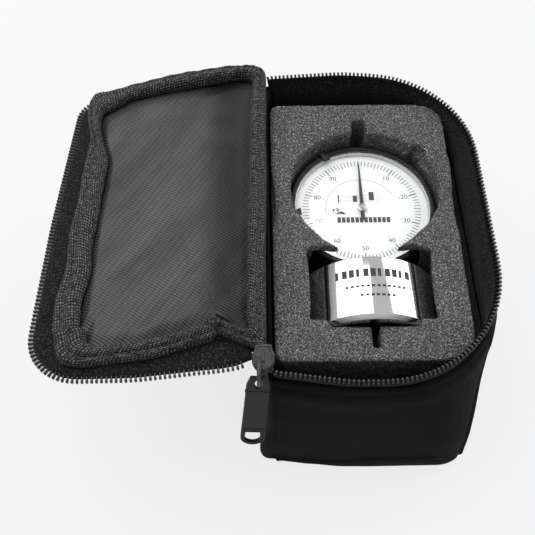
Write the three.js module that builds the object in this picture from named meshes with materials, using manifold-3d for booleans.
// Drum tuner (dial tension gauge on a round steel base) lying in a die-cut foam insert
// inside a small zip case whose lid is folded open.
// Units are millimetres, +Z is up. The origin is the middle of the case's flat floor.
// +Y runs along the case, from the gauge's base towards the top of its dial.
import * as THREE from "three";
import { mergeVertices } from "three/addons/utils/BufferGeometryUtils.js";
import Module from "manifold-3d";

const wasm = await Module();
wasm.setup();

// ---------------------------------------------------------------- driving dimensions
// Clearances
const gap = 0.3; // between pieces that only touch
const runningFit = 0.05; // radial, a shaft in its bush

// Gauge head
const bezelRadius = 28.5;
const bezelWall = 1.0;
const bezelDepth = 7.0; // skirt and flange together
const bezelRise = 3.5; // flange top above the dial face
const flangeThickness = 1.0;
const flangeReach = 1.5; // how far the flange comes in from the outside
const crystalRingWidth = 0.5;
const crystalThickness = 0.8;
const crystalDome = 0.8;
const dialThickness = 0.8;
const caseWall = 2.6;
const caseDepth = 18.4;
const coverThickness = 2.3;
const coverScrewCount = 4;
const coverScrewStart = 55; // degrees from +X
const coverScrewRadius = 0.6;
const coverScrewHeadRadius = 1.3;
const coverScrewLength = 4.5;
const stemDepth = 10.5; // stem axis below the dial face
const stemRadius = 4.0;
const stemReach = 17.5; // how far the stem goes into the base
const spindleRadius = 2.0;
const spindleTravel = 1.0; // one turn of the long hand
const topBushRadius = 2.5;
const topBushLength = 3.0;
const capRadius = 2.4;
const capLength = 4.0;
const capLift = 1.2; // spindle cap above the top bush
const clampAngle = 45; // degrees from +X
const clampKnobRadius = 2.2;
const clampKnobLength = 3.0;
const markerWidth = 2.2;
const markerAngles = [121, 188]; // degrees from +X
const longHandReach = 22.6;
const longHandTail = 5.5;
const smallHandReach = 3.4;

// Movement
const gearCentres = 11.0; // wheel and centre pinion axes
const wheelTeeth = 100;
const pinionTeeth = 10;
const rackPinionTeeth = 16;
const rackPitch = 0.625;
const counterTeeth = 40;
const counterRadius = 6.4;
const counterPlay = 0.17; // between the two counter wheels
const counterDirection = -118.3; // degrees from +X, seen from the rack wheel
const toothDepth = 0.3;
const wheelThickness = 0.8;
const plateThickness = 0.8;
const plateSpace = 4.2; // between the two plates
const pillarRadius = 1.2;
const pillarAngles = [30, 150, 225];
const pinAlong = -12; // spindle pin from the dial's axis
const pinLength = 5;
const pinRadius = 0.6;
const springRadius = 1.5;
const springWire = 0.25;
const springTurns = 5;
const springLength = 16;
const arborRadius = 0.5;
const takeUpAngle = -45;

// Steel base
const baseRadius = 25.4;
const baseLength = 24.8;
const baseStandOff = 1.7; // between the bezel and the base
const footChamfer = 1.6;
const footRecessRadius = 21.0;
const footRecessDepth = 1.2;
const setScrewRadius = 1.5;
const setScrewLength = 6.0;
const contactRadius = 2.4;
const contactOut = 1.0; // contact point past the foot
const contactTipRadius = 0.9;

// Foam
const pocketSlack = 1.3; // round pocket outside the bezel
const pocketShift = 0.9; // round pocket towards the back
const foamLeftMargin = 5.7;
const foamRightMargin = 4.7;
const foamBackMargin = 16.9;
const foamFrontMargin = 13.3;
const foamBaseThickness = 22.2;
const foamCorner = 10.0;
const basePocketSlack = 0.5;
const dialRecess = 9.5; // dial face below the foam's top
const topSlotSide = 0.3; // beside the top bush
const topSlotEnd = 0.5; // past the raised spindle cap
const frontSlotWidth = 3.0;
const frontSlotLength = 8.5;
const frontSlotOffset = -0.2;

// Zip case
const wall = 2.0;
const floorThickness = 1.8;
const leftRoom = 1.0;
const rightRoom = 9.0;
const backRoom = 9.6;
const frontRoom = 8.2;
const wallBelowFoamTop = 1.5;
const rimAboveFoamTop = 3.6;
const rimFrontCorner = 45;
const rimBackCorner = 40;
const hingeCorner = 4;
const frontSlant = 4.0;
const frontSlantRun = 28;
const bellyGrow = 1.0;
const bellyFrontGrow = 4.5;
const bellyBackGrow = 2.0;
const floorCorner = 13;
const edgeRounding = 2.5;
const tapeThickness = 1.0;
const tapeDepth = 17.0;
const chainWidth = 2.4;
const chainHeight = 1.7;

// Lid
const hingeDrop = 0.4; // hinge axis inside the case's left face
const hingeRise = 6.0; // hinge axis above the foam's top
const lidTapeWidth = 12.0;
const seamWidth = 6.0;
const seamHeight = 5.2;
const seamFromHinge = 0.7;
const panelThickness = 1.6;
const liningThickness = 0.8;
const liningRise = 1.5; // padding between panel and lining
const lidCorner = 14;
const lidHinge = { front: -1.0, back: -2.5 }; // lid surface below the hinge axis
const lidFar = { front: -2.0, back: -15.0 };
const lidFarTaper = 8.0;
const hingeStripHeight = 18.0;

// Slider and pull tab
const sliderWidth = 7.8;
const sliderLength = 9.4;
const sliderPlate = 1.0;
const sliderChannel = 2.0;
const sliderBack = 9.0; // slider's rear edge behind the case's front face
const sliderLift = 0.6; // lower plate above the rim's clearance
const postWidth = 1.6;
const bailHeight = 1.8;
const bailWire = 1.4;
const bailReach = 4.2; // bail's loop in front of the plates
const bailLength = 8.7;
const bailDrop = 1.6; // bail's end below the lower plate
const pullWidth = 8.8;
const pullLength = 38.0;
const pullThickness = 1.4;
const pullHoleRadius = 2.7;
const pullLean = 10; // degrees outwards from straight down
const pullTilt = 4; // degrees sideways, away from the case
const bailOffset = 1.6; // bail to the left of the slider's middle
const pullSlotLength = 5.2;
const pullStub = 1.6; // above the pivot
const pullRim = 0.7; // metal left over the slot

// ---------------------------------------------------------------- places worked out
const radians = THREE.MathUtils.degToRad;
const pocketRadius = bezelRadius + pocketSlack;
const foamWidth = foamLeftMargin + 2 * pocketRadius + foamRightMargin;
const headToFoot = bezelRadius + baseStandOff + baseLength;
const foamLength =
  foamBackMargin + bezelRadius + headToFoot + basePocketSlack + foamFrontMargin;
const caseWidth = 2 * wall + leftRoom + foamWidth + rightRoom;
const caseLength = 2 * wall + backRoom + foamLength + frontRoom;
const halfWidth = caseWidth / 2;
const halfLength = caseLength / 2;
const foamLeft = -halfWidth + wall + leftRoom;
const foamRight = foamLeft + foamWidth;
const foamBack = halfLength - wall - backRoom;
const foamFront = foamBack - foamLength;
const gaugeX = foamLeft + foamLeftMargin + pocketRadius;
const gaugeY = foamBack - foamBackMargin - bezelRadius;
const foamBaseTop = floorThickness + gap + foamBaseThickness;
const stemZ = foamBaseTop + gap + baseRadius;
const dialZ = stemZ + stemDepth;
const foamTop = dialZ + dialRecess;
const wallTop = foamTop - wallBelowFoamTop;
const rimZ = foamTop + rimAboveFoamTop;
const caseOuter = bezelRadius - bezelWall - gap;
const caseInner = caseOuter - caseWall;
const bushTop = caseOuter + topBushLength;
const spindleTop = bushTop + capLift;
const capEnd = spindleTop + capLength;
const hingeX = -halfWidth + hingeDrop;
const hingeZ = foamTop + hingeRise;

// ---------------------------------------------------------------- materials
const finish = (color, roughness, metalness = 0) =>
  new THREE.MeshStandardMaterial({ color, roughness, metalness });
const nylon = finish(0x17171a, 0.7);
const tapeCloth = finish(0x0e0e10, 0.9);
const zipTeeth = finish(0x101012, 0.4);
const liningCloth = finish(0x3a3b3e, 0.55);
const foamCell = finish(0x47484a, 0.95);
const zipMetal = finish(0x2b2c2f, 0.4, 0.6);
const steel = finish(0xc9cbce, 0.22, 1);
const blackPaint = finish(0x0b0b0c, 0.35);
const chrome = finish(0xe3e5e8, 0.1, 1);
const dialWhite = finish(0xf2f2f0, 0.6);
const handBlack = finish(0x111112, 0.4);
const clearAcrylic = finish(0xf4f8fa, 0.05);
const brass = finish(0xc0a05a, 0.35, 1);

// ---------------------------------------------------------------- shape helpers
/** Drops everything but position and merges shared vertices. */
function welded(geometry) {
  const bare = new THREE.BufferGeometry();
  const loose = geometry.index ? geometry.toNonIndexed() : geometry;
  bare.setAttribute("position", loose.getAttribute("position"));
  return mergeVertices(bare, 1e-4);
}

/** A three.js geometry as a solid that can be cut and joined. */
function solid(geometry) {
  const merged = welded(geometry);
  return new wasm.Manifold(
    new wasm.Mesh({
      numProp: 3,
      vertProperties: merged.attributes.position.array,
      triVerts: new Uint32Array(merged.index.array),
    }),
  );
}

/** A solid back as a three.js geometry. */
function shell(made) {
  const mesh = made.getMesh();
  const geometry = new THREE.BufferGeometry();
  const position = new THREE.BufferAttribute(mesh.vertProperties, 3);
  geometry.setAttribute("position", position);
  geometry.setIndex(new THREE.BufferAttribute(mesh.triVerts, 1));
  return geometry;
}

/** A body with others taken away from it. */
const cut = (body, ...tools) =>
  shell(tools.reduce((left, tool) => left.subtract(solid(tool)), solid(body)));

/** Several overlapping bodies as one. */
const join = (body, ...others) =>
  shell(others.reduce((sum, other) => sum.add(solid(other)), solid(body)));

/** A flat outline between two heights. */
function plate(shape, low, high, curveSegments = 12) {
  const settings = { depth: high - low, bevelEnabled: false, curveSegments };
  return new THREE.ExtrudeGeometry(shape, settings).translate(0, 0, low);
}

/** A profile of [radius, height] points, from the bottom outwards, turned about Z. */
function turned(profile, segments = 48) {
  const points = profile.map(([r, z]) => new THREE.Vector2(r, z));
  return new THREE.LatheGeometry(points, segments).rotateX(Math.PI / 2);
}

/** A solid round bar along Z. */
const rod = (radius, low, high, segments = 16) =>
  turned([[0, low], [radius, low], [radius, high], [0, high]], segments);

/** A round tube along Z. */
const pipe = (outer, inner, low, high, segments = 48) =>
  turned([[inner, low], [outer, low], [outer, high], [inner, high], [inner, low]], segments);

/** Lays a body made along Z down so that it points along +Y. */
const alongY = (geometry) => geometry.rotateX(-Math.PI / 2);

/** A box from its low and high corners. */
function block(x0, x1, y0, y1, z0, z1) {
  const box = new THREE.BoxGeometry(x1 - x0, y1 - y0, z1 - z0);
  return box.translate((x0 + x1) / 2, (y0 + y1) / 2, (z0 + z1) / 2);
}

/** A toothed disc: a polygon that goes root, tip, root, tip. */
function gear(teeth, tipRadius, low, high, turn = 0) {
  const shape = new THREE.Shape();
  for (let i = 0; i < 2 * teeth; i++) {
    const angle = (Math.PI * i) / teeth + turn;
    const radius = i % 2 ? tipRadius : tipRadius - toothDepth;
    const point = [radius * Math.cos(angle), radius * Math.sin(angle)];
    if (i) shape.lineTo(...point);
    else shape.moveTo(...point);
  }
  return plate(shape, low, high);
}

/** Rounded outline of a polygon, counter-clockwise, moved in by inset. Sides marked
 *  hinge are moved in by hingeInset, and each corner has radius r and steps chords. */
function rounded(corners, inset = 0, hingeInset = inset) {
  const count = corners.length;
  const sides = corners.map((corner, i) => {
    const next = corners[(i + 1) % count];
    const along = new THREE.Vector2(next.x - corner.x, next.y - corner.y).normalize();
    const inward = new THREE.Vector2(-along.y, along.x);
    const move = corner.hinge ? hingeInset : inset;
    return { along, point: inward.multiplyScalar(move).add(corner) };
  });
  const points = [];
  corners.forEach((corner, i) => {
    const a = sides[(i + count - 1) % count];
    const b = sides[i];
    const between = b.point.clone().sub(a.point);
    const reach = between.cross(b.along) / a.along.cross(b.along);
    const tip = a.along.clone().multiplyScalar(reach).add(a.point);
    const turn = Math.acos(THREE.MathUtils.clamp(a.along.dot(b.along), -1, 1));
    const radius = Math.max(corner.r - inset, 0.5);
    const start = tip.clone().addScaledVector(a.along, -radius * Math.tan(turn / 2));
    const centre = start.clone().add(new THREE.Vector2(-a.along.y, a.along.x).multiplyScalar(radius));
    for (let k = 0; k <= corner.steps; k++) {
      const swing = (turn * k) / corner.steps;
      points.push(start.clone().rotateAround(centre, swing));
    }
  });
  return points;
}

/** Skin over rings of equal length, first to last, with a fan over each end ring. */
function stack(rings) {
  const size = rings[0].length;
  const middle = (ring) =>
    ring.reduce((sum, p) => sum.add(p), new THREE.Vector3()).divideScalar(size);
  const vertices = [...rings.flat(), middle(rings[0]), middle(rings.at(-1))];
  const faces = [];
  for (let i = 0; i < size; i++) {
    const j = (i + 1) % size;
    for (let k = 0; k + 1 < rings.length; k++) {
      const low = k * size;
      const high = low + size;
      faces.push(low + i, low + j, high + j, low + i, high + j, high + i);
    }
    const last = (rings.length - 1) * size;
    faces.push(vertices.length - 2, j, i);
    faces.push(vertices.length - 1, last + i, last + j);
  }
  return surface(vertices, faces);
}

/** Skin over sections carried along a path. A closed path joins its last section to
 *  its first, and an open one gets a fan over each end. */
function strip(sections, closed = false) {
  const size = sections[0].length;
  const count = sections.length;
  const vertices = sections.flat();
  const faces = [];
  for (let k = 0; k < (closed ? count : count - 1); k++) {
    const here = k * size;
    const there = ((k + 1) % count) * size;
    for (let i = 0; i < size; i++) {
      const j = (i + 1) % size;
      faces.push(here + i, there + i, there + j, here + i, there + j, here + j);
    }
  }
  if (!closed) {
    for (let i = 1; i + 1 < size; i++) {
      const last = (count - 1) * size;
      faces.push(0, i, i + 1, last, last + i + 1, last + i);
    }
  }
  return surface(vertices, faces);
}

/** An indexed geometry from vectors and faces. */
function surface(vertices, faces) {
  const geometry = new THREE.BufferGeometry().setFromPoints(vertices);
  geometry.setIndex(faces);
  return geometry;
}

/** A plan outline lifted to a height, which may be a function of x and y. */
const lift = (outline, z) =>
  outline.map((p) => new THREE.Vector3(p.x, p.y, typeof z === "function" ? z(p.x, p.y) : z));

const group = new THREE.Group();

/** Puts a named piece in its group. */
function add(name, geometry, material, parent = group) {
  const mesh = new THREE.Mesh(geometry, material);
  mesh.name = name;
  parent.add(mesh);
  return mesh;
}

// ---------------------------------------------------------------- tub
const hingeCornerSteps = 3;

/** Corners of the case's outline with its three free sides moved out. */
function caseCorners(sideGrow, frontGrow, backGrow, frontCorner, backCorner) {
  const left = -halfWidth;
  const right = halfWidth + sideGrow;
  const front = -halfLength - frontGrow;
  const back = halfLength + backGrow;
  return [
    { x: left, y: front + frontSlant, r: hingeCorner, steps: hingeCornerSteps },
    { x: left + frontSlantRun, y: front, r: 60, steps: 2 },
    { x: right, y: front, r: frontCorner, steps: 8 },
    { x: right, y: back, r: backCorner, steps: 8 },
    { x: left, y: back, r: hingeCorner, steps: hingeCornerSteps, hinge: true },
  ];
}

const stations = [
  { z: 0, side: bellyGrow - 1, front: bellyFrontGrow, back: bellyBackGrow, corner: floorCorner },
  { z: hingeStripHeight, side: bellyGrow, front: bellyFrontGrow, back: bellyBackGrow, corner: 16 },
  { z: 0.6 * rimZ, side: bellyGrow, front: 0.8 * bellyFrontGrow, back: bellyBackGrow, corner: 20 },
  { z: 0.85 * rimZ, side: bellyGrow, front: 0.5 * bellyFrontGrow, back: bellyBackGrow / 2, corner: 27 },
];

/** Case outline at a height, moved in by inset: straight between the stations. */
function caseOutline(z, inset) {
  const rows = [...stations, { z: rimZ, side: 0, front: 0, back: 0, corner: rimFrontCorner }];
  const above = Math.max(1, rows.findIndex((row) => row.z >= Math.min(z, rimZ)));
  const [a, b] = [rows[above - 1], rows[above]];
  const share = (z - a.z) / (b.z - a.z);
  const mix = (key) => THREE.MathUtils.lerp(a[key], b[key], share);
  const corner = mix("corner");
  const backCorner = Math.min(corner, rimBackCorner);
  const corners = caseCorners(mix("side"), mix("front"), mix("back"), corner, backCorner);
  return rounded(corners, inset);
}

const wallHeights = [
  edgeRounding, stations[1].z, stations[2].z, stations[3].z, wallTop,
];
const tubRings = [
  lift(caseOutline(0, edgeRounding), 0),
  lift(caseOutline(edgeRounding * 0.3, edgeRounding * 0.3), edgeRounding * 0.3),
  ...wallHeights.map((z) => lift(caseOutline(z, 0), z)),
  ...wallHeights.toReversed().map((z) => lift(caseOutline(z, wall), z)),
  lift(caseOutline(floorThickness, wall + 0.5), floorThickness),
];
add("case_tub", stack(tubRings), nylon);

/** Points of the case outline from the slider's edge round to the back of the hinge. */
function rimPath(z, inset, start) {
  const points = caseOutline(z, inset).slice(hingeCornerSteps);
  const from = Math.max(start, points[0].x + gap);
  const first = points.findIndex((p) => p.x > from);
  const [a, b] = [points[first - 1], points[first]];
  const share = (from - a.x) / (b.x - a.x);
  return [a.clone().lerp(b, share), ...points.slice(first)];
}

const sliderX = hingeX - sliderWidth / 2 + 2.2;
const sliderRight = sliderX + sliderWidth / 2;
const bailX = sliderX - bailOffset;
const lidChainEnd = bailX - pullWidth / 2 - 2 * gap;
const chainStart = sliderRight + gap;
const tapeHeights = [rimZ - tapeDepth, stations[3].z, wallTop, rimZ];

/** Sections across the tape, from its outer foot over its top to its inner foot. */
function tapeSections(inset, thickness, heights, start) {
  const outer = heights.map((z) => lift(rimPath(z, inset, start), z));
  const inner = heights.map((z) => lift(rimPath(z, inset + thickness, start), z));
  const rings = [...outer, ...inner.toReversed()];
  const least = Math.min(...rings.map((ring) => ring.length));
  return Array.from({ length: least }, (_, i) => rings.map((ring) => ring.at(i - least)));
}

const tapeInset = wall + gap;
add("zip_tape_tub", strip(tapeSections(tapeInset, tapeThickness, tapeHeights, chainStart)), tapeCloth);
const tubChainInset = tapeInset + tapeThickness / 2 - chainWidth / 2;
const tubChainHeights = [rimZ + gap, rimZ + gap + chainHeight];
const tubChain = tubChainHeights.map((z) => lift(rimPath(rimZ, tubChainInset, chainStart), z));
const tubChainInner = tubChainHeights.map((z) =>
  lift(rimPath(rimZ, tubChainInset + chainWidth, chainStart), z),
);
const tubChainRings = [...tubChain, ...tubChainInner.toReversed()];
const tubChainSections = tubChain[0].map((_, i) =>
  tubChainRings.map((ring) => ring[Math.min(i, ring.length - 1)]),
);
add("zip_chain_tub", strip(tubChainSections), zipTeeth);

const hingeFront = -halfLength + lidTapeWidth + 1;
const hingeBack = halfLength + bellyBackGrow - lidTapeWidth - 1;
const stripOuter = -halfWidth - gap - panelThickness;
const hingeStripTop = hingeZ + lidHinge.back - panelThickness - gap;
add(
  "hinge_strip",
  block(
    stripOuter, -halfWidth - gap, hingeFront, hingeBack,
    hingeStripTop - hingeStripHeight, hingeStripTop,
  ),
  nylon,
);

// ---------------------------------------------------------------- lid
const lidGroup = new THREE.Group();
group.add(lidGroup);
const lidFarX = 2 * hingeX - halfWidth;
const lidCorners = [
  { x: hingeX - seamFromHinge, y: halfLength + bellyBackGrow, r: 5, steps: 2 },
  { x: lidFarX + lidFarTaper, y: halfLength, r: lidCorner, steps: 4 },
  { x: lidFarX, y: 0, r: 120, steps: 2 },
  { x: lidFarX, y: -halfLength + 1.3, r: lidCorner, steps: 4 },
  { x: hingeX - seamFromHinge - 8, y: -halfLength + 1.3, r: 12, steps: 2 },
  { x: hingeX - seamFromHinge, y: -halfLength + 5, r: 5, steps: 2, hinge: true },
];

/** Height of the lid's surface: level between the four corners of the twisted lid. */
function lidHeight(x, y) {
  const out = (hingeX - x) / (hingeX - lidFarX);
  const back = (y + halfLength) / caseLength;
  const near = THREE.MathUtils.lerp(lidHinge.front, lidHinge.back, back);
  const far = THREE.MathUtils.lerp(lidFar.front, lidFar.back, back);
  return hingeZ + THREE.MathUtils.lerp(near, far, out);
}

/** Lid height moved up or down. */
const lidLevel = (offset) => (x, y) => lidHeight(x, y) + offset;

/** The lid's outline moved in by inset, with the hinge side moved in by its own. */
const lidOutline = (inset, hingeInset) => rounded(lidCorners, inset, hingeInset);

/** Rings from the edge to near the middle, so that a thin sheet follows the twist. */
function sheet(outline, offset, thickness) {
  const middle = outline
    .reduce((sum, p) => sum.add(p), new THREE.Vector2())
    .divideScalar(outline.length);
  const shrink = (share) => outline.map((p) => p.clone().lerp(middle, share));
  const shares = [0.75, 0.45, 0];
  return stack([
    ...shares.map((s) => lift(shrink(s), lidLevel(offset))),
    ...shares.toReversed().map((s) => lift(shrink(s), lidLevel(offset + thickness))),
  ]);
}

const seamOuter = lidOutline(lidTapeWidth, 0);
const seamInnerInset = lidTapeWidth + seamWidth;
add("lid_panel", sheet(seamOuter, -panelThickness, panelThickness), nylon, lidGroup);
const liningOutline = lidOutline(seamInnerInset + gap, seamWidth + gap);
add("lid_lining", sheet(liningOutline, liningRise, liningThickness), liningCloth, lidGroup);

const seamShape = [
  [0, 0.3], [0, 0.75], [0.3, 1], [0.7, 1], [1, 0.75], [1, 0.3], [0.75, 0], [0.25, 0],
];
const seamRings = seamShape.map(([across, up]) =>
  lift(
    lidOutline(lidTapeWidth + across * seamWidth, across * seamWidth),
    lidLevel(gap + up * seamHeight),
  ),
);
const seamSections = seamOuter.map((_, i) => seamRings.map((ring) => ring[i]));
add("lid_seam", strip(seamSections, true), nylon, lidGroup);

/** The lid outline's free sides, from behind the hinge round to the slider. */
function lidPath(inset) {
  const points = lidOutline(inset, 0);
  const last = points.findLastIndex((p) => p.x < lidChainEnd);
  return points.slice(2, last + 1);
}

/** A flat strip along the lid's free sides between two insets. */
function lidStrip(outerInset, innerInset, low, high) {
  const outer = lidPath(outerInset);
  const inner = lidPath(innerInset);
  const least = Math.min(outer.length, inner.length);
  return strip(
    Array.from({ length: least }, (_, i) => [
      new THREE.Vector3(outer[i].x, outer[i].y, lidHeight(outer[i].x, outer[i].y) + low),
      new THREE.Vector3(outer[i].x, outer[i].y, lidHeight(outer[i].x, outer[i].y) + high),
      new THREE.Vector3(inner[i].x, inner[i].y, lidHeight(inner[i].x, inner[i].y) + high),
      new THREE.Vector3(inner[i].x, inner[i].y, lidHeight(inner[i].x, inner[i].y) + low),
    ]),
  );
}

const lidTapeInner = lidTapeWidth - gap;
add(
  "zip_tape_lid",
  lidStrip(chainWidth + gap, lidTapeInner, -tapeThickness / 2, tapeThickness / 2),
  tapeCloth,
  lidGroup,
);
add("zip_chain_lid", lidStrip(0, chainWidth, -chainHeight / 2, chainHeight / 2), zipTeeth, lidGroup);

// ---------------------------------------------------------------- slider and pull tab
const sliderRear = -halfLength + frontSlant + sliderBack;
const sliderFront = sliderRear - sliderLength;
const sliderLow = rimZ + gap + sliderLift;
const sliderHigh = sliderLow + 2 * sliderPlate + sliderChannel;

// Shield outline: share of the half width, share of the length from the rear
const shield = [[0.7, 0], [1, 0.45], [0.85, 0.75], [0.3, 1]];

/** Shield outline of the slider's plates: square behind, tapered to the front. */
function shieldShape() {
  const edge = (side) =>
    shield.map(([wide, along]) => new THREE.Vector2(
      sliderX + (side * wide * sliderWidth) / 2,
      sliderRear - along * sliderLength,
    ));
  return new THREE.Shape([...edge(-1), ...edge(1).toReversed()]);
}

add(
  "zip_slider",
  join(
    plate(shieldShape(), sliderLow, sliderLow + sliderPlate),
    plate(shieldShape(), sliderHigh - sliderPlate, sliderHigh),
    block(
      sliderX - postWidth / 2, sliderX + postWidth / 2,
      sliderFront + 2, sliderFront + 5,
      sliderLow, sliderHigh,
    ),
  ),
  zipMetal,
);

const bailFront = sliderFront - bailReach;
const bailRear = bailFront + bailLength;
const bailTop = sliderHigh + gap + bailHeight;
add(
  "zip_slider_bail",
  cut(
    block(
      bailX - bailWire / 2, bailX + bailWire / 2,
      bailFront, bailRear, sliderLow - bailDrop, bailTop,
    ),
    block(
      bailX - bailWire, bailX + bailWire,
      bailFront + bailWire, bailRear + 1, sliderLow - 2 * bailDrop, sliderHigh + gap,
    ),
  ),
  zipMetal,
);

const pullGroup = new THREE.Group();
group.add(pullGroup);
const pullPivot = new THREE.Vector3(
  bailX,
  bailFront + bailWire + pullThickness / 2 + gap,
  sliderLow - gap - 0.1,
);

/** Pull tab outline hanging from the pivot along -Y, with a slot for the bail and a
 *  round-bottomed hole at the free end. */
function pullShape() {
  const half = pullWidth / 2;
  const end = pullStub - pullLength;
  const shape = new THREE.Shape();
  shape.moveTo(-half * 0.62, pullStub);
  shape.lineTo(-half * 0.92, -3);
  shape.lineTo(-half, end + half);
  shape.absarc(0, end + half, half, Math.PI, 2 * Math.PI, false);
  shape.lineTo(half * 0.92, -3);
  shape.lineTo(half * 0.62, pullStub);
  shape.closePath();
  const slot = new THREE.Path();
  const slotMiddle = pullStub - pullRim - pullSlotLength / 2;
  slot.absellipse(0, slotMiddle, bailWire / 2 + 2 * gap, pullSlotLength / 2, 0, 2 * Math.PI, true);
  const hole = new THREE.Path();
  hole.moveTo(-pullHoleRadius, end + half + 2.4);
  hole.lineTo(pullHoleRadius, end + half + 2.4);
  hole.lineTo(pullHoleRadius, end + half);
  hole.absarc(0, end + half, pullHoleRadius, 2 * Math.PI, Math.PI, true);
  shape.holes.push(slot, hole);
  return shape;
}

const pull = add("zip_pull", plate(pullShape(), 0, pullThickness, 6), zipMetal, pullGroup);
pull.geometry.translate(0, 0, -pullThickness / 2);
pull.rotation.set(radians(90 - pullLean), 0, radians(-pullTilt));
pull.position.copy(pullPivot);

// ---------------------------------------------------------------- foam
/** Full outline of the gauge's space in the foam, seen from above. */
function pocketTools() {
  const below = foamBaseTop;
  const above = foamTop + 1;
  const backY = gaugeY + pocketShift;
  const baseBack = gaugeY - bezelRadius;
  const baseFront = gaugeY - headToFoot - basePocketSlack;
  const baseHalf = baseRadius + basePocketSlack;
  const knob = bezelRadius + clampKnobLength + 1.2;
  const topSlotHalf = Math.max(topBushRadius, capRadius) + topSlotSide;
  const notch = block(
    pocketRadius - 4, knob, -clampKnobRadius - 0.7, clampKnobRadius + 0.7, below, above,
  );
  notch.rotateZ(radians(clampAngle)).translate(gaugeX, gaugeY, 0);
  return [
    rod(pocketRadius, below, above, 48).translate(gaugeX, backY, 0),
    block(gaugeX - baseHalf, gaugeX + baseHalf, baseFront, baseBack + 8, below, above),
    block(
      gaugeX - topSlotHalf, gaugeX + topSlotHalf,
      gaugeY, gaugeY + capEnd + spindleTravel + topSlotEnd, below, above,
    ),
    block(
      gaugeX + frontSlotOffset - frontSlotWidth / 2, gaugeX + frontSlotOffset + frontSlotWidth / 2,
      baseFront - frontSlotLength, baseFront + 1, below, above,
    ),
    notch,
  ];
}

const foamCorners = [
  { x: foamLeft, y: foamFront, r: 3, steps: 2 },
  { x: foamRight, y: foamFront, r: foamCorner, steps: 4 },
  { x: foamRight, y: foamBack, r: foamCorner, steps: 4 },
  { x: foamLeft, y: foamBack, r: 3, steps: 2 },
];
const foamShape = new THREE.Shape(rounded(foamCorners));
add("foam_base", plate(foamShape, floorThickness + gap, foamBaseTop), foamCell);
add(
  "foam_insert",
  cut(plate(foamShape, foamBaseTop + gap, foamTop), ...pocketTools()),
  foamCell,
);

// ---------------------------------------------------------------- gauge: base and stem
const gauge = new THREE.Group();
gauge.position.set(gaugeX, gaugeY, 0);
group.add(gauge);

const baseTop = -bezelRadius - baseStandOff; // along Y from the dial's axis
const baseEnd = baseTop - baseLength;
const boreRadius = stemRadius + runningFit;
const plateRadius = caseInner - gap - 0.6;
const caseTop = dialZ - dialThickness - gap;
const caseBottom = caseTop - caseDepth;

const baseProfile = [
  [boreRadius, baseEnd + footRecessDepth],
  [footRecessRadius, baseEnd + footRecessDepth],
  [footRecessRadius, baseEnd],
  [baseRadius - footChamfer, baseEnd],
  [baseRadius, baseEnd + footChamfer],
  [baseRadius, baseTop - 0.5],
  [baseRadius - 0.5, baseTop],
  [boreRadius, baseTop],
  [boreRadius, baseEnd + footRecessDepth],
];
const setScrewY = baseTop - 8;
const setScrewHole = rod(setScrewRadius + gap, -baseRadius - 1, -boreRadius / 2, 16)
  .translate(0, setScrewY, stemZ);
const baseBody = alongY(turned(baseProfile, 56)).translate(0, 0, stemZ);
add("gauge_base", cut(baseBody, setScrewHole), steel, gauge);
add(
  "base_set_screw",
  cut(
    rod(setScrewRadius, -boreRadius - gap - setScrewLength, -boreRadius - gap, 16),
    rod(0.8, -boreRadius - setScrewLength - 1, -boreRadius - setScrewLength + 2, 6),
  ).translate(0, setScrewY, stemZ),
  blackPaint,
  gauge,
);

const stemTop = -plateRadius - gap;
const stemEnd = baseTop - stemReach;
const spindleBore = spindleRadius + runningFit;
add(
  "stem",
  alongY(pipe(stemRadius, spindleBore, stemEnd, stemTop, 24)).translate(0, 0, stemZ),
  chrome,
  gauge,
);

// ---------------------------------------------------------------- gauge: case and cover
const clampTurn = radians(clampAngle);
const screwRing = caseOuter - caseWall / 2;
const screwAngles = Array.from({ length: coverScrewCount }, (_, i) =>
  radians(coverScrewStart + (360 * i) / coverScrewCount),
);
const screwPlace = (geometry, angle) =>
  geometry.translate(screwRing * Math.cos(angle), screwRing * Math.sin(angle), 0);
const knobShaft = 1.0;
const clampZ = caseTop - bezelDepth + bezelRise - clampKnobRadius;

/** Turns a body made along Z to point out of the case at the clamp's angle. */
const outAtClamp = (geometry) =>
  geometry.rotateY(Math.PI / 2).rotateZ(clampTurn).translate(0, 0, clampZ);

add(
  "indicator_case",
  cut(
    pipe(caseOuter, caseInner, caseBottom, caseTop, 48),
    alongY(rod(stemRadius + gap, -caseOuter - 2, 0, 24)).translate(0, 0, stemZ),
    alongY(rod(topBushRadius + gap, 0, caseOuter + 2, 20)).translate(0, 0, stemZ),
    outAtClamp(rod(knobShaft + 0.2, caseInner - 2, caseOuter + 2, 12)),
    ...screwAngles.map((a) =>
      screwPlace(rod(coverScrewRadius + gap, caseBottom - 1, caseBottom + 4, 10), a),
    ),
  ),
  blackPaint,
  gauge,
);
add(
  "top_bush",
  alongY(pipe(topBushRadius, spindleBore, caseInner - 1.5, bushTop, 20)).translate(0, 0, stemZ),
  chrome,
  gauge,
);

const coverTop = caseBottom - gap;
const coverBottom = coverTop - coverThickness;
add(
  "back_cover",
  cut(
    turned([
      [0, coverBottom], [caseOuter - 1, coverBottom], [caseOuter, coverBottom + 1],
      [caseOuter, coverTop], [0, coverTop],
    ], 40),
    ...screwAngles.map((a) =>
      screwPlace(rod(coverScrewRadius + gap, coverBottom - 1, coverTop + 1, 10), a),
    ),
  ),
  blackPaint,
  gauge,
);
const headLow = coverBottom - gap - 0.7;
screwAngles.forEach((angle, i) => {
  const screw = turned([
    [0, headLow], [coverScrewHeadRadius, headLow], [coverScrewHeadRadius, coverBottom - gap],
    [coverScrewRadius, coverBottom - gap], [coverScrewRadius, headLow + coverScrewLength],
    [0, headLow + coverScrewLength],
  ], 10);
  add(`cover_screw_${i + 1}`, screwPlace(screw, angle), steel, gauge);
});

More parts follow.
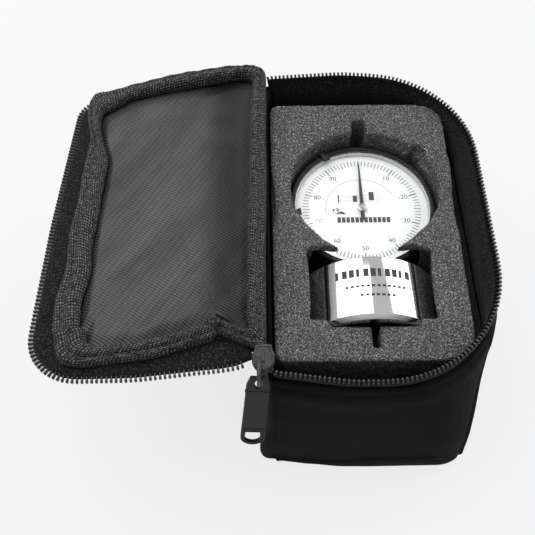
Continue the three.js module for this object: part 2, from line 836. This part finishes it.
add(
  "bezel_clamp_screw",
  join(
    outAtClamp(rod(knobShaft, caseInner + gap, caseOuter + 0.6, 12)),
    outAtClamp(rod(clampKnobRadius, caseOuter + 0.4, caseOuter + 0.4 + clampKnobLength, 14)),
  ),
  blackPaint,
  gauge,
);

// ---------------------------------------------------------------- gauge: bezel and dial
const flangeTop = dialZ + bezelRise;
const flangeLow = flangeTop - flangeThickness;
const bezelInner = bezelRadius - bezelWall;
const bezelMouth = bezelRadius - flangeReach;
add(
  "bezel",
  turned([
    [bezelInner, flangeTop - bezelDepth], [bezelRadius, flangeTop - bezelDepth],
    [bezelRadius, flangeTop - 0.5], [bezelRadius - 0.5, flangeTop],
    [bezelMouth, flangeTop], [bezelMouth, flangeLow],
    [bezelInner, flangeLow], [bezelInner, flangeTop - bezelDepth],
  ], 56),
  blackPaint,
  gauge,
);
const ringOuter = bezelMouth - 0.1;
const ringInner = ringOuter - crystalRingWidth;
add("crystal_ring", pipe(ringOuter, ringInner, dialZ + 0.4, flangeTop - 0.2, 48), chrome, gauge);
const crystalRadius = ringInner - 0.1;
const crystalEdge = flangeTop - 0.5;
const crystalMiddle = crystalEdge + crystalDome;
add(
  "crystal",
  turned([
    [0, crystalMiddle - crystalThickness],
    [crystalRadius * 0.6, crystalEdge + 0.6 * crystalDome - crystalThickness],
    [crystalRadius, crystalEdge - crystalThickness], [crystalRadius, crystalEdge],
    [crystalRadius * 0.6, crystalEdge + 0.6 * crystalDome], [0, crystalMiddle],
  ], 36),
  clearAcrylic,
  gauge,
);

const takeUpTurn = radians(takeUpAngle);
const rackPinionRadius = (rackPinionTeeth * rackPitch) / (2 * Math.PI);
const rackX = -(spindleRadius + rackPinionRadius + runningFit);
const rackY = Math.sqrt(gearCentres ** 2 - rackX ** 2);
const counterCentres = 2 * counterRadius + counterPlay;
const counterTurn = radians(counterDirection);
const counterAt = new THREE.Vector2(
  rackX + counterCentres * Math.cos(counterTurn),
  rackY + counterCentres * Math.sin(counterTurn),
);
const dialRadius = bezelMouth - 0.6;
add(
  "dial_plate",
  cut(
    rod(dialRadius, dialZ - dialThickness, dialZ, 56),
    rod(arborRadius + gap + 0.2, dialZ - 2, dialZ + 1, 12),
    rod(arborRadius + gap, dialZ - 2, dialZ + 1, 12).translate(counterAt.x, counterAt.y, 0),
  ),
  dialWhite,
  gauge,
);

/** A tapered hand pointing along +Y from a round hub. */
function handShape(reach, tail, rootWidth, tipWidth) {
  const shape = new THREE.Shape();
  shape.moveTo(-tipWidth / 2, reach);
  shape.lineTo(-rootWidth / 2, 0);
  shape.lineTo(-rootWidth / 2, -tail);
  shape.lineTo(rootWidth / 2, -tail);
  shape.lineTo(rootWidth / 2, 0);
  shape.lineTo(tipWidth / 2, reach);
  shape.closePath();
  return shape;
}

const wheelLow = dialZ - dialThickness - gap - 3 * plateThickness - plateSpace + 1.6;
const lowerPlateTop = wheelLow - gap;
const lowerPlateLow = lowerPlateTop - plateThickness;
const upperPlateLow = lowerPlateTop + plateSpace;
const handLow = dialZ + 0.95;
const arborHole = arborRadius + runningFit;
add(
  "long_hand",
  cut(
    join(
      plate(handShape(longHandReach, longHandTail, 1.3, 0.4), handLow, handLow + 0.3),
      rod(1.5, handLow - 0.15, handLow + 0.75, 20),
    ),
    rod(arborHole, handLow - 1, handLow + 0.35, 12),
  ),
  handBlack,
  gauge,
);
const pinionTip = 1.15;
const wheelTip = gearCentres - pinionTip - 0.05;
add(
  "centre_pinion",
  join(
    gear(pinionTeeth, pinionTip, wheelLow - 0.1, wheelLow + wheelThickness + 0.2),
    rod(arborRadius, wheelLow - 0.3 - gap, handLow + 0.2, 12),
  ),
  brass,
  gauge,
);

// ---------------------------------------------------------------- gauge: movement
const counterLow = wheelLow + wheelThickness + 1.0;
const rackArborLow = stemZ - 1.5;
add(
  "rack_wheel",
  join(
    gear(rackPinionTeeth, rackPinionRadius, rackArborLow, stemZ + 1.5),
    rod(arborRadius, rackArborLow - 0.5, upperPlateLow + 0.5, 12),
    gear(wheelTeeth, wheelTip, wheelLow, wheelLow + wheelThickness),
    gear(counterTeeth, counterRadius, counterLow, counterLow + wheelThickness),
  ).translate(rackX, rackY, 0),
  brass,
  gauge,
);
const counterCentre = [counterAt.x, counterAt.y, 0];
const smallHandLow = dialZ + 0.25;
add(
  "counter_wheel",
  join(
    gear(counterTeeth, counterRadius - 0.05, counterLow, counterLow + wheelThickness),
    rod(arborRadius, counterLow - 0.6, smallHandLow - gap, 12),
  ).translate(...counterCentre),
  brass,
  gauge,
);
const smallHand = plate(handShape(smallHandReach, 1.4, 0.8, 0.3), smallHandLow, smallHandLow + 0.2);
add(
  "small_hand",
  join(smallHand.rotateZ(radians(-112)), rod(0.8, smallHandLow - 0.1, smallHandLow + 0.3, 14))
    .translate(...counterCentre),
  handBlack,
  gauge,
);
const takeUpAt = [gearCentres * Math.cos(takeUpTurn), gearCentres * Math.sin(takeUpTurn), 0];
add(
  "take_up_wheel",
  join(
    gear(wheelTeeth, wheelTip, wheelLow, wheelLow + wheelThickness),
    rod(arborRadius, wheelLow - gap - 0.5, upperPlateLow + 0.5, 12),
  ).translate(...takeUpAt),
  brass,
  gauge,
);

/** A flat spiral strip, wound outwards round an arbor. */
function spiralSections(inner, pitch, turns, low, height, thickness) {
  const chords = 12; // in one turn
  return Array.from({ length: turns * chords + 1 }, (_, i) => {
    const angle = (2 * Math.PI * i) / chords;
    const radius = inner + (pitch * i) / chords;
    const at = (r, z) => new THREE.Vector3(r * Math.cos(angle), r * Math.sin(angle), z);
    return [
      at(radius, low), at(radius + thickness, low),
      at(radius + thickness, low + height), at(radius, low + height),
    ];
  });
}

const hairspringLow = wheelLow + wheelThickness + gap;
add(
  "hairspring",
  strip(spiralSections(arborRadius + gap, 1.0, 3, hairspringLow, 0.8, 0.25)).translate(...takeUpAt),
  steel,
  gauge,
);

const arborPlaces = [[0, 0], [rackX, rackY], [counterAt.x, counterAt.y], takeUpAt];

/** A round movement plate with a hole for each arbor. */
function movementPlate(low, hole) {
  const holes = arborPlaces.map(([x, y]) =>
    rod(hole, low - 1, low + plateThickness + 1, 12).translate(x, y, 0),
  );
  return cut(rod(plateRadius, low, low + plateThickness, 40), ...holes);
}

add("lower_plate", movementPlate(lowerPlateLow, arborRadius + gap), brass, gauge);
add("upper_plate", movementPlate(upperPlateLow, arborRadius + gap), brass, gauge);
pillarAngles.forEach((angle, i) => {
  const reach = plateRadius - pillarRadius - 2;
  const pillar = rod(pillarRadius, lowerPlateTop + gap, upperPlateLow - gap, 12);
  pillar.translate(reach * Math.cos(radians(angle)), reach * Math.sin(radians(angle)), 0);
  add(`pillar_${i + 1}`, pillar, brass, gauge);
});

// ---------------------------------------------------------------- gauge: spindle
const footTip = baseEnd - contactOut;
const contactTop = stemEnd - 1.5;

/** Rack teeth: a row of shallow cuts on the side towards the pinion. */
const rackTeeth = Array.from({ length: 18 }, (_, i) =>
  block(
    -spindleRadius - 1, -spindleRadius + toothDepth,
    rackY - 5.4 + i * rackPitch, rackY - 5.4 + (i + 0.5) * rackPitch,
    stemZ - spindleRadius, stemZ + spindleRadius,
  ),
);
add(
  "spindle",
  cut(alongY(rod(spindleRadius, contactTop + gap, spindleTop, 20)).translate(0, 0, stemZ), ...rackTeeth),
  steel,
  gauge,
);
add(
  "spindle_cap",
  alongY(
    turned([
      [0, spindleTop + gap], [capRadius - 0.6, spindleTop + gap], [capRadius, spindleTop + gap + 0.6],
      [capRadius, capEnd - 1.2], [capRadius - 1.2, capEnd], [0, capEnd],
    ], 20),
  ).translate(0, 0, stemZ),
  blackPaint,
  gauge,
);
add(
  "contact_point",
  alongY(
    turned([
      [0, footTip], [contactTipRadius * 0.6, footTip + 0.1], [contactTipRadius, footTip + 0.5],
      [contactTipRadius, baseEnd + 0.4], [contactRadius, baseEnd + footRecessDepth],
      [contactRadius, contactTop], [0, contactTop],
    ], 20),
  ).translate(0, 0, stemZ),
  steel,
  gauge,
);

add(
  "spindle_pin",
  rod(pinRadius, spindleRadius + gap, spindleRadius + pinLength, 10)
    .rotateY(Math.PI / 2)
    .translate(0, pinAlong, stemZ),
  steel,
  gauge,
);

// Return spring beside the spindle, from the pin up to a post on the case side
class Helix extends THREE.Curve {
  constructor(radius, turns, length) {
    super();
    Object.assign(this, { radius, turns, length });
  }
  getPoint(t, target = new THREE.Vector3()) {
    const angle = 2 * Math.PI * this.turns * t;
    return target.set(this.radius * Math.cos(angle), this.length * t, this.radius * Math.sin(angle));
  }
}
const wire = new THREE.Shape();
wire.absarc(0, 0, springWire, 0, 2 * Math.PI);
const springSettings = {
  extrudePath: new Helix(springRadius, springTurns, springLength),
  steps: springTurns * 8,
  curveSegments: 2,
  bevelEnabled: false,
};
const springStart = pinAlong + pinRadius + spindleTravel + gap + springWire;
add(
  "return_spring",
  new THREE.ExtrudeGeometry(wire, springSettings)
    .translate(spindleRadius + springRadius + 2.2, springStart, stemZ),
  steel,
  gauge,
);

// ---------------------------------------------------------------- gauge: bezel markers
markerAngles.forEach((angle, i) => {
  const shape = new THREE.Shape();
  shape.moveTo(bezelRadius - 3.4, -markerWidth * 0.2);
  shape.lineTo(bezelRadius - 2.0, -markerWidth / 2);
  shape.lineTo(bezelRadius + 0.1, -markerWidth / 2);
  shape.lineTo(bezelRadius + 0.1, markerWidth / 2);
  shape.lineTo(bezelRadius - 2.0, markerWidth / 2);
  shape.lineTo(bezelRadius - 3.4, markerWidth * 0.2);
  shape.closePath();
  const marker = plate(shape, flangeTop + gap, flangeTop + gap + 0.7);
  add(`bezel_marker_${i + 1}`, marker.rotateZ(radians(angle)), blackPaint, gauge);
});

export default group;
